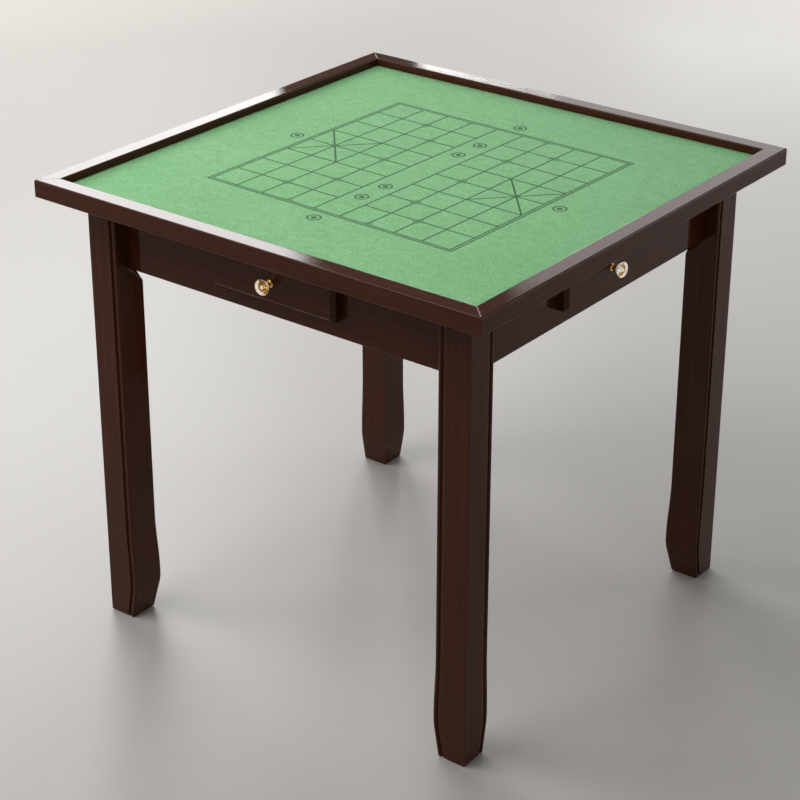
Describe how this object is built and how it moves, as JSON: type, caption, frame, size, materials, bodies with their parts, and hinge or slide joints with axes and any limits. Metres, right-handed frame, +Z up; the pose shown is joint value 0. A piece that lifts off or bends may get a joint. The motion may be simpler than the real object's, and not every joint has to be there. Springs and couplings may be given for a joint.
{
  "type": "gaming table",
  "caption": "Square gaming table with a raised rim round a printed felt top, square moulded legs and a glass-knobbed drawer in every side.",
  "frame": {"origin": "on the floor under the centre of the top, at the bottom centre of the bounding box", "axes": "+Z up; the front drawer opens towards -Y and the right drawer towards +X; the longer run of the printed grid lies along X"},
  "size_m": [0.812, 0.812, 0.745],
  "materials": {
    "dark_wood": "espresso stain under semi-gloss lacquer",
    "plain_wood": "raw, unstained",
    "panel_board": "raw board",
    "baize": "napped green baize with a printed grid",
    "zinc_steel": "zinc plated",
    "knob_brass": "polished",
    "knob_crystal": "clear faceted glass",
    "nylon": "matt black nylon"
  },
  "bodies": {
    "table": {"rim_front": "dark_wood", "rim_right": "dark_wood", "rim_back": "dark_wood", "rim_left": "dark_wood", "rim_splines": "plain_wood", "top_panel": "panel_board", "felt_sheet": "baize", "top_cleats": "plain_wood", "cleat_screws": "zinc_steel", "apron_front": "dark_wood", "apron_right": "dark_wood", "apron_back": "dark_wood", "apron_left": "dark_wood", "corner_blocks": "plain_wood", "long_rail_right": "plain_wood", "long_rail_left": "plain_wood", "cross_rail_front": "plain_wood", "cross_rail_back": "plain_wood", "short_rails": "plain_wood", "runners_front": "plain_wood", "runners_right": "plain_wood", "runners_back": "plain_wood", "runners_left": "plain_wood", "leg_front_left": "dark_wood", "leg_front_right": "dark_wood", "leg_back_right": "dark_wood", "leg_back_left": "dark_wood", "foot_glides": "nylon", "leg_bolts": "zinc_steel", "bolt_washers": "zinc_steel", "bolt_nuts": "zinc_steel"},
    "drawer_front": {"drawer_face_front": "dark_wood", "drawer_sides_front": "plain_wood", "drawer_ends_front": "plain_wood", "drawer_bottom_front": "plain_wood", "knob_neck_front": "knob_brass", "knob_glass_front": "knob_crystal", "knob_screw_front": "zinc_steel"},
    "drawer_right": {"drawer_face_right": "dark_wood", "drawer_sides_right": "plain_wood", "drawer_ends_right": "plain_wood", "drawer_bottom_right": "plain_wood", "knob_neck_right": "knob_brass", "knob_glass_right": "knob_crystal", "knob_screw_right": "zinc_steel"},
    "drawer_back": {"drawer_face_back": "dark_wood", "drawer_sides_back": "plain_wood", "drawer_ends_back": "plain_wood", "drawer_bottom_back": "plain_wood", "knob_neck_back": "knob_brass", "knob_glass_back": "knob_crystal", "knob_screw_back": "zinc_steel"},
    "drawer_left": {"drawer_face_left": "dark_wood", "drawer_sides_left": "plain_wood", "drawer_ends_left": "plain_wood", "drawer_bottom_left": "plain_wood", "knob_neck_left": "knob_brass", "knob_glass_left": "knob_crystal", "knob_screw_left": "zinc_steel"}
  },
  "joints": [
    {"name": "drawer_front_slide", "type": "slide", "parent": "table", "child": "drawer_front", "axis": [0, -1, 0], "range_m": [0, 0.15]},
    {"name": "drawer_right_slide", "type": "slide", "parent": "table", "child": "drawer_right", "axis": [1, 0, 0], "range_m": [0, 0.15]},
    {"name": "drawer_back_slide", "type": "slide", "parent": "table", "child": "drawer_back", "axis": [0, 1, 0], "range_m": [0, 0.15]},
    {"name": "drawer_left_slide", "type": "slide", "parent": "table", "child": "drawer_left", "axis": [-1, 0, 0], "range_m": [0, 0.15]}
  ]
}
